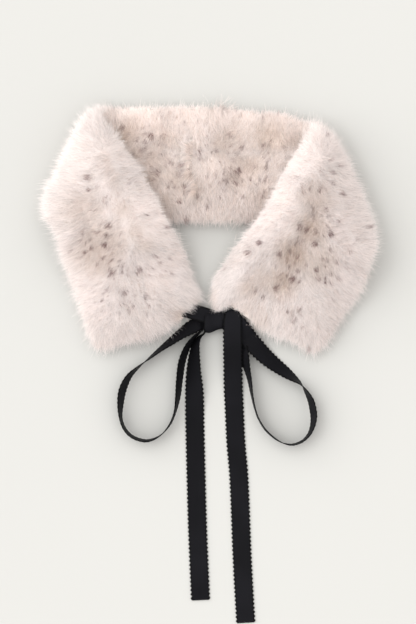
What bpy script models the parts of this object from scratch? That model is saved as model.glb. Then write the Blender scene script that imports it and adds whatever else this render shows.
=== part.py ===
"""Fur collar wrap with two picot-edged ribbons tied in a bow, laid flat.

A long strip of double-sided fur lies face down on the table.  Its middle is the
back of the collar.  At each shoulder the strip folds over on itself and comes
forward on top as a front, so the neck-side fur shows at the back and the outer
fur shows on both fronts.  A ribbon is sewn into each end of the strip, and the two
are tied in a bow whose loops stand on edge.

Sizes in the tables are millimetres.  X runs to the right, Y to the back and Z up.
"""

import math

import bmesh
import bpy
from mathutils import Vector

MM = 0.001

# --- driving dimensions, millimetres -------------------------------------------
SEAM_GAP = 0.3  # between any two pieces that are sewn or pressed together
SEAM_WALL = 1.5  # each fur layer where the two are sewn edge to edge

UNDER_PILE = 11.0  # a fur layer that is pressed flat against what it lies on
UPPER_PILE = 16.0  # a fur layer that is free to stand up
FOLD_PILE = 11.0  # the neck-side layer squeezed inside a shoulder fold
OUTER_FOLD_PILE = 14.0  # the outer layer stretched round that fold
SQUEEZE_LENGTH = 34.0  # along the strip, over which that squeezing fades
UNDER_ROUND = 13.0  # width over which the edge of a pressed layer rounds down
UPPER_ROUND = 34.0  # the same for a free layer
FOLD_ROUND = 30.0  # the same at a shoulder fold

LAYER_GAP = 0.5  # between a front and the back of the collar under it
STRIP_MIDDLE = UNDER_PILE + SEAM_GAP / 2  # height of the strip's middle on the table
FOLD_RADIUS = (UNDER_PILE + UPPER_PILE + SEAM_GAP + LAYER_GAP) / 2  # of that middle

SETTLE_TOP = 156.0  # a front leaves the back of the collar at this Y
SETTLE_FOOT = 84.0  # and lies on the table from this Y on

RIBBON_WIDTH = 19.2  # over the picots
RIBBON_WALL = 1.0
PICOT_PITCH = 4.4
PICOT_DEPTH = 1.0

# --- the fur strip, a row for each section --------------------------------------
# Each section is a straight line from the crown edge, which is the top of the back
# and the inner edge of the fronts, to the hem edge, which is the lower edge of the
# back and the outer edge of the fronts.  turn is 0 on the back and 1 on a front.
# settle is how far a front may drop to the table, and bow pushes the middle of the
# section out along the strip.
STRIP_COLUMNS = ("crown_x", "crown_y", "hem_x", "hem_y", "turn", "settle", "bow")
LEFT_FRONT = [
    (-17.5, 54.5, -121.0, 16.5, 1, 1.0, 8),
    (-13.0, 76.0, -128.5, 34.0, 1, 1.0, 6),
    (-20.0, 103.0, -136.0, 54.0, 1, 1.0, 3),
    (-30.5, 138.0, -143.5, 74.0, 1, 1.0, 0),
    (-43.5, 173.0, -149.5, 91.5, 1, 0.9, 0),
    (-61.0, 208.0, -154.5, 107.0, 1, 0.6, 0),
    (-84.0, 236.0, -159.5, 122.0, 1, 0.25, 0),
    (-104.0, 252.0, -162.5, 136.0, 1, 0.0, 0),
]
BACK = [
    (-97.0, 270.5, -146.0, 158.0, 0, 0, 0),
    (-66.0, 272.5, -100.0, 152.0, 0, 0, 0),
    (-35.0, 272.0, -45.0, 150.0, 0, 0, 0),
    (0.0, 270.5, 0.0, 149.5, 0, 0, 0),
    (34.0, 268.5, 45.0, 149.0, 0, 0, 0),
    (62.0, 267.0, 94.0, 146.0, 0, 0, 0),
    (89.5, 262.5, 138.0, 138.0, 0, 0, 0),
]
RIGHT_FRONT = [
    (99.5, 243.0, 165.0, 101.0, 1, 0.0, 0),
    (87.0, 219.5, 162.5, 88.0, 1, 0.3, 0),
    (72.5, 195.0, 157.0, 75.0, 1, 0.7, 0),
    (57.5, 166.0, 148.5, 62.5, 1, 1.0, 0),
    (41.0, 142.5, 138.0, 48.5, 1, 1.0, 0),
    (22.0, 117.5, 127.0, 32.0, 1, 1.0, 0),
    (4.5, 89.0, 117.0, 20.0, 1, 1.0, 1),
    (5.5, 65.0, 108.5, 11.5, 1, 1.0, 0),
]
LEFT_FOLD_OUTWARD = (-0.898, 0.440)  # which way each fold bulges
RIGHT_FOLD_OUTWARD = (0.920, 0.392)
FOLD_STEPS = 10  # sections round a shoulder fold
ROW_STEPS = 3  # sections between two rows of a table
END_ROUND = 26.0  # length over which the strip's sewn ends round down
SEWN_STEPS = 6  # points across the sewn face of a layer, less one
EDGE_ANGLES = (0, 20, 40, 62)  # points where a layer's edge rounds over, degrees
EDGE_SHARE = 0.25  # of the width, that those points take at each edge
FLAT_STEPS = 7  # points across the rest of the pile, less one

# --- soft folds and rolls in the fur that shows, a row for each --------------------
# Each runs from one place to another, and turn is 1 for a front and 0 for the back.
ROLL_FADE = 0.15  # share of its length over which a roll fades in and out
ROLL_COLUMNS = ("x0", "y0", "x1", "y1", "half_width", "height", "turn")
ROLLS = [
    (104.0, 226.0, 20.0, 86.0, 17.0, 4.5, 1),  # roll along the right front's inner edge
    (100.0, 160.0, 46.0, 76.0, 17.0, -6.5, 1),  # valley beside that roll
    (150.0, 130.0, 96.0, 40.0, 26.0, 2.0, 1),  # flank beyond the valley
    (-126.0, 212.0, -60.0, 106.0, 17.0, 4.0, 1),  # ridge across the left front
    (-143.0, 176.0, -98.0, 84.0, 17.0, -3.0, 1),  # hollow outside that ridge
    (-52.0, 180.0, -30.0, 96.0, 13.0, -2.0, 1),  # soft dip towards the inner edge
    (-96.0, 70.0, -44.0, 60.0, 18.0, 2.5, 1),  # puff above the left end
    (-58.0, 262.0, -44.0, 168.0, 20.0, -3.0, 0),  # hollow beside the left front
    (-8.0, 258.0, 2.0, 166.0, 24.0, 2.5, 0),  # puff at the nape
    (44.0, 258.0, 30.0, 166.0, 20.0, -2.5, 0),  # hollow right of the nape
]

# --- the ribbons, a row for each section ------------------------------------------
# tilt is the angle of the ribbon's face: 0 and 180 lie flat and 90 stands on edge.
# lift is the height of its lower edge and gather is the share of its full width.
RIBBON_COLUMNS = ("x", "y", "tilt", "lift", "gather")
RIBBON_STEPS = 8  # points of the smooth curve between two rows
LEFT_LOOP = [
    (-8.8, 44.0, 14, 2.6, 0.66),
    (-13.4, 43.4, 30, 2.0, 0.82),
    (-21.6, 39.3, 50, 0.6, 1.0),
    (-31.5, 33.0, 61, 0.0, 1.0),
    (-41.3, 25.7, 69, 0.0, 1.0),
    (-52.8, 17.2, 79, 0.0, 1.0),
    (-65.1, 7.2, 90, 0.0, 1.0),
    (-76.7, -2.1, 102, 0.0, 1.0),
    (-86.6, -12.1, 110, 0.0, 1.0),
    (-92.9, -25.2, 112, 0.0, 1.0),
    (-95.8, -39.5, 106, 0.0, 1.0),
    (-95.8, -55.2, 95, 0.0, 1.0),
    (-91.2, -67.6, 95, 0.0, 1.0),
    (-82.0, -75.8, 97, 0.0, 1.0),
    (-67.7, -79.3, 91, 0.0, 1.0),
    (-54.1, -74.0, 90, 0.0, 1.0),
    (-44.1, -63.0, 88, 0.0, 1.0),
    (-38.3, -49.4, 86, 0.0, 1.0),
    (-35.2, -32.6, 78, 0.0, 1.0),
    (-33.6, -15.8, 74, 0.0, 1.0),
    (-31.0, 3.2, 77, 0.0, 1.0),
    (-25.4, 18.6, 80, 0.0, 1.0),
    (-17.6, 29.4, 84, 0.3, 0.9),
    (-9.4, 36.8, 86, 2.0, 0.62),
]
RIGHT_LOOP = [
    (15.0, 47.6, 178, 8.6, 0.7),
    (20.0, 46.6, 176, 9.2, 0.8),
    (27.5, 39.5, 173, 9.6, 0.92),
    (38.0, 28.3, 170, 9.6, 1.0),
    (48.0, 17.6, 159, 6.4, 1.0),
    (57.5, 8.0, 147, 2.6, 1.0),
    (69.0, -1.2, 135, 0.4, 1.0),
    (80.5, -9.6, 121, 0.0, 1.0),
    (92.6, -18.6, 98, 0.0, 1.0),
    (98.3, -26.3, 84, 0.0, 1.0),
    (104.0, -36.8, 76, 0.0, 1.0),
    (106.9, -49.4, 73, 0.0, 1.0),
    (107.2, -59.9, 73, 0.0, 1.0),
    (104.8, -70.4, 77, 0.0, 1.0),
    (98.7, -78.2, 84, 0.0, 1.0),
    (89.8, -82.2, 88, 0.0, 1.0),
    (81.4, -82.8, 90, 0.0, 1.0),
    (70.9, -78.8, 90, 0.0, 1.0),
    (59.9, -68.8, 91, 0.0, 1.0),
    (50.9, -56.7, 92, 0.0, 1.0),
    (45.5, -45.2, 94, 0.0, 1.0),
    (42.3, -30.5, 100, 0.0, 1.0),
    (40.0, -15.8, 107, 0.0, 1.0),
    (37.1, -3.2, 119, 0.0, 1.0),
    (33.6, 8.4, 134, 0.0, 1.0),
    (28.4, 20.5, 153, 0.4, 1.0),
    (24.0, 30.5, 168, 1.4, 0.9),
    (19.8, 36.4, 176, 2.4, 0.72),
    (14.7, 38.2, 178, 3.2, 0.6),
]
LEFT_TAIL = [
    (-8.0, 33.0, 84, 1.2, 0.56),
    (-11.6, 30.2, 80, 0.5, 0.72),
    (-14.8, 25.2, 73, 0.0, 0.9),
    (-16.8, 19.6, 65, 0.0, 1.0),
    (-17.9, 10.5, 56, 0.0, 1.0),
    (-18.5, 0.0, 46, 0.0, 1.0),
    (-18.6, -10.5, 36, 0.0, 1.0),
    (-18.0, -24.2, 20, 0.0, 1.0),
    (-17.7, -38.9, 7, 0.0, 1.0),
    (-17.5, -57.8, 0, 0.0, 1.0),
    (-17.0, -83.0, 0, 0.0, 1.0),
    (-16.1, -120.8, 0, 0.0, 1.0),
    (-14.6, -173.3, 0, 0.0, 1.0),
    (-11.5, -246.8, 0, 0.0, 1.0),
]
RIGHT_TAIL = [
    (22.4, 50.4, 0, 15.2, 0.9),
    (22.0, 45.0, 0, 15.4, 1.0),
    (21.9, 36.8, 0, 15.6, 1.0),
    (22.1, 21.0, 0, 14.6, 1.0),
    (22.4, 5.3, 0, 9.4, 1.0),
    (22.6, -10.0, 0, 4.6, 1.0),
    (22.9, -24.2, 0, 1.6, 1.0),
    (23.8, -43.0, 0, 0.0, 1.0),
    (25.7, -83.0, 0, 0.0, 1.0),
    (28.9, -120.8, 0, 0.0, 1.0),
    (32.3, -204.8, 0, 0.0, 1.0),
    (36.0, -270.6, 0, 0.0, 1.0),
]
# A stub is the short flat stretch from a sewn end of the collar to the knot.  It
# leaves the seam between two shares across the strip and meets the knot's side.
STUB_COLUMNS = ("share0", "share1", "knot_x", "knot_y0", "knot_y1", "knot_z")
LEFT_STUB = (0.155, 0.0, -8.3, 40.0, 52.0, 11.6)
RIGHT_STUB = (0.06, 0.23, 14.6, 53.6, 42.6, 12.6)
STUB_STEPS = 6

# --- the knot, a row for each section across the wrap --------------------------------
KNOT_COLUMNS = ("x", "y", "half_depth", "half_height")
KNOT_MIDDLE_Z = 8.2
KNOT = [
    (-7.9, 43.5, 5.6, 4.6),
    (-7.3, 43.7, 7.4, 6.4),
    (-3.5, 44.6, 7.3, 6.2),
    (3.0, 46.2, 7.1, 6.0),
    (9.5, 47.8, 7.5, 6.2),
    (13.3, 48.8, 7.8, 6.6),
    (13.9, 48.9, 6.0, 4.8),
]
KNOT_SIDES = 16
KNOT_SQUARENESS = 2.6  # 2 would be an ellipse
KNOT_CREASED_SIDES = (2, 14)
KNOT_CREASE = 0.9  # depth of the lengthwise fold in the wrap


def clear_scene():
    for old in list(bpy.data.objects):
        bpy.data.objects.remove(old, do_unlink=True)


def new_collection(name):
    collection = bpy.data.collections.new(name)
    bpy.context.scene.collection.children.link(collection)
    return collection


def make_material(name, colour, roughness, sheen=0.0):
    """A Principled material for cloth."""
    material = bpy.data.materials.new(name)
    material.use_nodes = True
    shader = material.node_tree.nodes["Principled BSDF"]
    shader.inputs["Base Color"].default_value = (*colour, 1.0)
    shader.inputs["Roughness"].default_value = roughness
    shader.inputs["Metallic"].default_value = 0.0
    shader.inputs["Sheen Weight"].default_value = sheen
    return material


def smooth_step(x):
    x = min(1.0, max(0.0, x))
    return x * x * (3 - 2 * x)


def blend(a, b, t):
    return a + (b - a) * t


def catmull_rom(before, start, end, after, t):
    """A point of the smooth curve from start to end, column by column."""
    point = []
    for a, b, c, d in zip(before, start, end, after):
        bend = (2 * a - 5 * b + 4 * c - d) * t + (3 * b - a - 3 * c + d) * t * t
        point.append(b + 0.5 * t * ((c - a) + bend))
    return point


def smooth_rows(rows, steps):
    """The rows of a table with steps - 1 new ones between each two."""
    padded = [rows[0], *rows, rows[-1]]
    out = []
    for before, start, end, after in zip(padded, padded[1:], padded[2:], padded[3:]):
        out += [catmull_rom(before, start, end, after, k / steps) for k in range(steps)]
    return [*out, list(rows[-1])]


def mesh_object(name, points, faces, material, collection, smooth_angle=40):
    """One closed body, shaded smooth but for its sharp edges."""
    mesh = bpy.data.meshes.new(name)
    mesh.from_pydata([Vector(p) * MM for p in points], [], faces)
    body = bmesh.new()
    body.from_mesh(mesh)
    bmesh.ops.triangulate(body, faces=[f for f in body.faces if len(f.verts) > 3])
    bmesh.ops.recalc_face_normals(body, faces=body.faces)
    body.to_mesh(mesh)
    body.free()
    mesh.materials.append(material)
    mesh.shade_smooth()
    mesh.set_sharp_from_angle(angle=math.radians(smooth_angle))
    obj = bpy.data.objects.new(name, mesh)
    collection.objects.link(obj)
    return obj


def loft(rings):
    """Points and faces of a closed body through rings of equal length."""
    count = len(rings[0])
    points = [p for ring in rings for p in ring]
    faces = []
    for i in range(len(rings) - 1):
        low, high = i * count, (i + 1) * count
        for j in range(count):
            k = (j + 1) % count
            faces.append((low + j, low + k, high + k))
            faces.append((low + j, high + k, high + j))
    faces.append(tuple(range(count)))
    faces.append(tuple(range(len(points) - count, len(points))))
    return points, faces


# --- the fur strip ----------------------------------------------------------------
def strip_sections():
    """Every section of the strip from its left end to its right end, as dicts."""
    sections = []

    def add(rows, outward):
        for row in rows:
            section = dict(zip(STRIP_COLUMNS, row))
            section["outward"] = outward
            sections.append(section)

    def fold(start, end):
        """Rows round a shoulder fold, without its two end rows."""
        steps = [k / FOLD_STEPS for k in range(1, FOLD_STEPS)]
        return [[a + (b - a) * t for a, b in zip(start, end)] for t in steps]

    add(smooth_rows(LEFT_FRONT, ROW_STEPS), LEFT_FOLD_OUTWARD)
    add(fold(LEFT_FRONT[-1], BACK[0]), LEFT_FOLD_OUTWARD)
    back = smooth_rows(BACK, ROW_STEPS)
    add(back[: len(back) // 2], LEFT_FOLD_OUTWARD)
    add(back[len(back) // 2 :], RIGHT_FOLD_OUTWARD)
    add(fold(BACK[-1], RIGHT_FRONT[0]), RIGHT_FOLD_OUTWARD)
    add(smooth_rows(RIGHT_FRONT, ROW_STEPS), RIGHT_FOLD_OUTWARD)
    return sections


def strip_point(section, across):
    """The middle of the strip at a share across from the crown to the hem edge."""
    x = section["crown_x"] + (section["hem_x"] - section["crown_x"]) * across
    y = section["crown_y"] + (section["hem_y"] - section["crown_y"]) * across
    angle = math.pi * section["turn"]
    out = FOLD_RADIUS * math.sin(angle)
    x += section["outward"][0] * out
    y += section["outward"][1] * out
    y -= section["bow"] * (1 - (2 * across - 1) ** 2)
    z = STRIP_MIDDLE + FOLD_RADIUS * (1 - math.cos(angle))
    on_back = smooth_step((y - SETTLE_FOOT) / (SETTLE_TOP - SETTLE_FOOT))
    z -= 2 * FOLD_RADIUS * (1 - on_back) * section["settle"]
    return Vector((x, y, z))


def pile_shares():
    """Shares across the pile's outside, closer together where its edges round over."""
    near = [EDGE_SHARE * (1 - math.cos(math.radians(a))) for a in EDGE_ANGLES]
    middle = [blend(EDGE_SHARE, 1 - EDGE_SHARE, k / FLAT_STEPS) for k in range(FLAT_STEPS + 1)]
    return near + middle + [1 - share for share in reversed(near)]


def rounding(distance, radius):
    """1 on the flat of a layer, falling in an arc to 0 at its edge."""
    if distance >= radius:
        return 1.0
    return math.sqrt(max(0.0, 1 - ((radius - distance) / radius) ** 2))


def roll_height(point, turn):
    """How much the rolls and valleys raise the free fur at a place."""
    total = 0.0
    for row in ROLLS:
        roll = dict(zip(ROLL_COLUMNS, row))
        if roll["turn"] != turn:
            continue
        start = Vector((roll["x0"], roll["y0"]))
        run = Vector((roll["x1"], roll["y1"])) - start
        place = Vector(point[:2]) - start
        along = place.dot(run) / run.length_squared
        beside = abs(place.x * run.y - place.y * run.x) / run.length
        share = max(0.0, 1 - (beside / roll["half_width"]) ** 2) ** 2
        start_fade = smooth_step((along + ROLL_FADE) / (2 * ROLL_FADE))
        end_fade = smooth_step((1 + ROLL_FADE - along) / (2 * ROLL_FADE))
        total += roll["height"] * share * start_fade * end_fade
    return total


def pile_depth(side, section, point, edge_distance, end_distance):
    """Thickness of a fur layer.  side is 1 for the outer layer, -1 for the neck's."""
    turn = section["turn"]
    free = turn if side > 0 else 1 - turn  # 1 where this layer is on top
    inside = math.sin(math.pi * turn)  # 1 in the middle of a fold
    pile = blend(UNDER_PILE, UPPER_PILE, free)
    radius = blend(UNDER_ROUND, UPPER_ROUND, free)
    if side < 0:
        pile = blend(pile, FOLD_PILE, min(1.0, 2 * inside + section["near_fold"]))
    else:
        pile = blend(pile, OUTER_FOLD_PILE, inside)
    radius = blend(radius, FOLD_ROUND, inside)
    if free == 1:
        pile += roll_height(point, turn)
    depth = pile * rounding(edge_distance, radius) * rounding(end_distance, END_ROUND)
    return max(SEAM_WALL, depth)


def strip_frames(sections, shares):
    """Middle points and outward normals of the strip on a grid."""
    grid = [[strip_point(s, share) for share in shares] for s in sections]
    normals = []
    for i, row in enumerate(grid):
        before, after = grid[max(0, i - 1)], grid[min(len(grid) - 1, i + 1)]
        line = []
        for j in range(len(row)):
            along = after[j] - before[j]
            over = row[min(len(row) - 1, j + 1)] - row[max(0, j - 1)]
            line.append(along.cross(over).normalized())
        normals.append(line)
    return grid, normals


def mark_distances(sections):
    """Add each section's distance to the strip's ends and nearness to a fold."""
    middles = [strip_point(s, 0.5) for s in sections]
    travelled = [0.0]
    for a, b in zip(middles, middles[1:]):
        travelled.append(travelled[-1] + (b - a).length)
    folds = [t for t, s in zip(travelled, sections) if 0 < s["turn"] < 1]
    for section, here in zip(sections, travelled):
        section["end_distance"] = min(here, travelled[-1] - here)
        nearest = min(abs(here - t) for t in folds)
        section["near_fold"] = 1 - smooth_step(nearest / SQUEEZE_LENGTH)


def fur_layer(name, side, sections, material, collection):
    """One fur panel: its sewn inner face on the strip's middle, and its pile."""
    inner_shares = [k / SEWN_STEPS for k in range(SEWN_STEPS + 1)]
    outer_shares = pile_shares()
    inner, inner_normals = strip_frames(sections, inner_shares)
    outer, outer_normals = strip_frames(sections, outer_shares)
    rings = []
    for i, section in enumerate(sections):
        width = (outer[i][-1] - outer[i][0]).length
        ring = []
        for point, normal in zip(inner[i], inner_normals[i]):
            ring.append(point + normal * side * SEAM_GAP / 2)
        pile = []
        for share, point, normal in zip(outer_shares, outer[i], outer_normals[i]):
            edge = min(share, 1 - share) * width
            depth = pile_depth(side, section, point, edge, section["end_distance"])
            tip = point + normal * side * (SEAM_GAP / 2 + depth)
            tip.z = max(0.0, tip.z)
            pile.append(tip)
        rings.append(ring + pile[::-1])
    return mesh_object(name, *loft(rings), material, collection)


# --- the ribbons -------------------------------------------------------------------
def picot_sections(rows):
    """Sections along a ribbon, two for each picot: a peak and the dip after it."""
    fine = [Vector(r) for r in smooth_rows(rows, RIBBON_STEPS)]
    travelled = [0.0]
    for a, b in zip(fine, fine[1:]):
        travelled.append(travelled[-1] + (b.xy - a.xy).length)
    count = 2 * max(1, round(travelled[-1] / PICOT_PITCH))
    sections, k = [], 0
    for step in range(count + 1):
        here = travelled[-1] * step / count
        while k < len(travelled) - 2 and travelled[k + 1] < here:
            k += 1
        share = (here - travelled[k]) / (travelled[k + 1] - travelled[k])
        section = dict(zip(RIBBON_COLUMNS, fine[k].lerp(fine[k + 1], share)))
        section["dip"] = PICOT_DEPTH * (step % 2)
        sections.append(section)
    return sections


def ribbon(name, rows, material, collection):
    """A stretch of ribbon, one wall thick, with picots along both edges."""
    sections = picot_sections(rows)
    rings = []
    for i, section in enumerate(sections):
        before, after = sections[max(0, i - 1)], sections[min(len(sections) - 1, i + 1)]
        run = Vector((after["x"] - before["x"], after["y"] - before["y"], 0)).normalized()
        level = Vector((-run.y, run.x, 0))
        tilt = math.radians(section["tilt"])
        over = level * math.cos(tilt) + Vector((0, 0, math.sin(tilt)))
        face = run.cross(over)
        full = RIBBON_WIDTH / 2 * section["gather"]
        height = max(0.0, section["lift"]) + full * abs(math.sin(tilt))
        height += RIBBON_WALL / 2 * abs(math.cos(tilt))
        middle = Vector((section["x"], section["y"], height))
        half = full - section["dip"] * section["gather"]
        corners = ((-1, -1), (1, -1), (1, 1), (-1, 1))
        rings.append(
            [middle + over * half * a + face * RIBBON_WALL / 2 * b for a, b in corners]
        )
    return mesh_object(name, *loft(rings), material, collection)


def stub(name, row, section, material, collection):
    """The flat stretch from a sewn end to the knot, gathered as it goes."""
    r = dict(zip(STUB_COLUMNS, row))
    sewn = [strip_point(section, r["share0"]), strip_point(section, r["share1"])]
    seam = (sewn[1] - sewn[0]).normalized()
    away = Vector((seam.y, -seam.x, 0)) * SEAM_GAP
    knotted = [Vector((r["knot_x"], r[y], r["knot_z"])) for y in ("knot_y0", "knot_y1")]
    wall = Vector((0, 0, RIBBON_WALL / 2))
    rings = []
    for k in range(STUB_STEPS + 1):
        t = k / STUB_STEPS
        a, b = ((s + away).lerp(e, t) for s, e in zip(sewn, knotted))
        rings.append([a - wall, b - wall, b + wall, a + wall])
    return mesh_object(name, *loft(rings), material, collection)


def knot(name, material, collection):
    """The wrap of the knot, with the crossing strands inside it as one solid."""
    rings = []
    for row in KNOT:
        r = dict(zip(KNOT_COLUMNS, row))
        ring = []
        for k in range(KNOT_SIDES):
            angle = 2 * math.pi * k / KNOT_SIDES
            c, s = math.cos(angle), math.sin(angle)
            size = (abs(c) ** KNOT_SQUARENESS + abs(s) ** KNOT_SQUARENESS) ** (
                -1 / KNOT_SQUARENESS
            )
            crease = KNOT_CREASE if k in KNOT_CREASED_SIDES else 0.0
            y = r["y"] + (r["half_depth"] - crease) * c * size
            z = KNOT_MIDDLE_Z + (r["half_height"] - crease) * s * size
            ring.append((r["x"], y, z))
        rings.append(ring)
    return mesh_object(name, *loft(rings), material, collection)


def centre_on_footprint(objects):
    """Move every piece so that the origin is under the middle of the whole."""
    corners = [v.co for obj in objects for v in obj.data.vertices]
    low = [min(c[k] for c in corners) for k in range(3)]
    high = [max(c[k] for c in corners) for k in range(3)]
    shift = Vector((-(low[0] + high[0]) / 2, -(low[1] + high[1]) / 2, -low[2]))
    for obj in objects:
        for vertex in obj.data.vertices:
            vertex.co += shift


def build():
    clear_scene()
    collar = new_collection("fur_collar_wrap")
    outer_fur = make_material("outer_fur", (0.83, 0.73, 0.68), 0.95, 0.4)
    neck_fur = make_material("neck_fur", (0.78, 0.67, 0.61), 0.95, 0.4)
    satin = make_material("black_satin_ribbon", (0.025, 0.025, 0.028), 0.45)

    sections = strip_sections()
    mark_distances(sections)
    pieces = [
        fur_layer("outer_fur_panel", 1, sections, outer_fur, collar),
        fur_layer("neck_fur_panel", -1, sections, neck_fur, collar),
        knot("bow_knot", satin, collar),
        ribbon("bow_loop_left", LEFT_LOOP, satin, collar),
        ribbon("bow_loop_right", RIGHT_LOOP, satin, collar),
        ribbon("ribbon_tail_left", LEFT_TAIL, satin, collar),
        ribbon("ribbon_tail_right", RIGHT_TAIL, satin, collar),
        stub("ribbon_stub_left", LEFT_STUB, sections[0], satin, collar),
        stub("ribbon_stub_right", RIGHT_STUB, sections[-1], satin, collar),
    ]
    centre_on_footprint(pieces)


build()
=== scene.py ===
"""A fur collar wrap, tied at the front with a picot-edged satin ribbon.

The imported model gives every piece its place.  Each fur panel is dressed as a soft
underfur with tapered hairs rooted in it, combed by region and gathered into tufts,
and some of the tufts are dark.  The ribbons are thin satin shells with round picots
along both edges, and the knot is a wrap of the same ribbon round a tight core.

Sizes in the tables are millimetres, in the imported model's own frame.
"""

import math

import bmesh
import bpy
import numpy as np
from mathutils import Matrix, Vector, noise
from mathutils.bvhtree import BVHTree
from mathutils.kdtree import KDTree


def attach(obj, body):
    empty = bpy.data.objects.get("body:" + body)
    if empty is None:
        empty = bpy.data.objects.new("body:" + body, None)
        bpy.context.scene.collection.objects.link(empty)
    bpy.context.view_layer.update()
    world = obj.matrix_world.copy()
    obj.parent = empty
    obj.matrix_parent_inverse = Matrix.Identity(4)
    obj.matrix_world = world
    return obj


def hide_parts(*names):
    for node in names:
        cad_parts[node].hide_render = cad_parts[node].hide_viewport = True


MM = 0.001

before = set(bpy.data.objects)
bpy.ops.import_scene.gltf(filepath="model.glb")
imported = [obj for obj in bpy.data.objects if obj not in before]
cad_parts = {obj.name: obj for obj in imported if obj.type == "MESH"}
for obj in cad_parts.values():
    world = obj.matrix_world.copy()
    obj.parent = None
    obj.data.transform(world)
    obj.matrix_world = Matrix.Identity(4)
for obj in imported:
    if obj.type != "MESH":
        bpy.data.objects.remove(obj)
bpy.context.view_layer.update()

# --- camera, floor and light ----------------------------------------------------------
VIEW_MIDDLE = (-3.3, 55.0)
VIEW_HEIGHT = 655.2  # what the long side of the view takes in
CAMERA_HEIGHT = 6000.0
CAMERA_CLIP = 100.0  # metres
SENSOR_WIDTH = 36.0  # of the camera
FLOOR_SIZE = 8000.0
FLOOR_DROP = 0.4  # the floor lies this far under the collar
LAMPS = [  # name, where it stands, strength and how wide it looks in degrees
    ("window", (-1.0, 0.35, 0.60), 1.75, 80),
    ("ceiling", (-0.1, 0.1, 1.0), 1.2, 60),
]
LAMP_COLOUR = (1.0, 1.013, 1.008)
SKY_COLOUR = (1.0, 0.975, 0.952, 1.0)
SKY_STRENGTH = 1.11
TABLE_COLOURS = (0.498, 0.496, 0.480), (0.508, 0.506, 0.490)

# --- colours of the satin -------------------------------------------------------------
SATIN_FACE = (0.0058, 0.0057, 0.0069)
SATIN_RIB = (0.0092, 0.0091, 0.0105)
SATIN_WORN_AND_SHEEN = (1.35, 1.35, 1.4)  # what wear and painted sheen multiply them by
SATIN_THREAD = (0.006, 0.006, 0.0065)  # along both edges
THREAD_FROM, THREAD_TO = 0.0078, 0.0086  # metres, from the ribbon's middle
SATIN_ROUGHNESS = 0.45
SATIN_ROUGHEST, SATIN_SMOOTHEST = 0.08, 0.05  # how far handling takes it up and down

# --- colours of the fur ---------------------------------------------------------------
OUTER_UNDERFUR = (0.92, 0.86, 0.82), (0.80, 0.70, 0.64)  # pale and deep; the darker deep colour is painted shade of the depth under the hairs
NECK_UNDERFUR = (0.90, 0.83, 0.78), (0.76, 0.66, 0.60)
DARK_HAIR = (0.165, 0.050, 0.052)
OUTER_HAIR = (  # root, middle, tip, warm undertone that is also used as painted shade, and dark
    (0.85, 0.74, 0.70),
    (0.94, 0.865, 0.835),
    (0.99, 0.945, 0.93),
    (0.70, 0.57, 0.48),
    DARK_HAIR,
)
NECK_HAIR = (
    (0.82, 0.71, 0.65),
    (0.93, 0.84, 0.80),
    (0.98, 0.925, 0.90),
    (0.66, 0.53, 0.44),
    DARK_HAIR,
)
COOL_CAST = (0.90, 0.87, 0.88)  # drifts over the fur
DIMMEST, BRIGHTEST = 0.64, 1.08  # from the dullest hair to the palest
DARK_FROM, DARK_TO = 0.15, 0.5  # along a hair, where the dark of a tuft sets in
HAIR_GLOW = 0.4  # the share of light that goes through a hair

# --- the ribbons, a row for each section ----------------------------------------------
# tilt is the angle of the ribbon's face: 0 and 180 lie flat and 90 stands on edge.
# lift is the height of its lower edge and gather is the share of its full width.
# Their X and Y are measured before the whole was centred, by this shift.
CENTRING = Vector((0.366, -0.700, 0.0))
RIBBON_COLUMNS = ("x", "y", "tilt", "lift", "gather")
LEFT_LOOP = [
    (-4.6, 45.2, 8, 3.0, 0.62),
    (-8.8, 44.0, 14, 2.6, 0.66),
    (-13.4, 43.4, 30, 2.0, 0.82),
    (-21.6, 39.3, 44, 0.6, 1.0),
    (-31.5, 33.0, 57, 0.0, 1.0),
    (-41.3, 25.7, 66, 0.0, 1.0),
    (-52.8, 17.2, 76, 0.0, 1.0),
    (-65.1, 7.2, 85, 0.0, 1.0),
    (-76.7, -2.1, 96, 0.0, 1.0),
    (-86.6, -12.1, 106, 0.0, 1.0),
    (-92.9, -25.2, 112, 0.0, 1.0),
    (-95.3, -39.5, 108, 0.0, 1.0),
    (-95.1, -55.2, 98, 0.0, 1.0),
    (-90.5, -67.6, 97, 0.0, 1.0),
    (-81.6, -75.8, 97, 0.0, 1.0),
    (-67.7, -79.3, 96, 0.0, 1.0),
    (-54.1, -74.0, 91, 0.0, 1.0),
    (-44.1, -63.0, 86, 0.0, 1.0),
    (-38.3, -49.4, 84, 0.0, 1.0),
    (-35.2, -32.6, 75, 0.0, 1.0),
    (-33.6, -15.8, 71, 0.0, 1.0),
    (-31.0, 3.2, 69, 0.0, 1.0),
    (-25.4, 18.6, 73, 0.0, 1.0),
    (-17.6, 29.4, 79, 0.3, 0.9),
    (-9.4, 36.8, 86, 2.0, 0.62),
    (-4.4, 41.4, 86, 3.0, 0.5),
]
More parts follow.
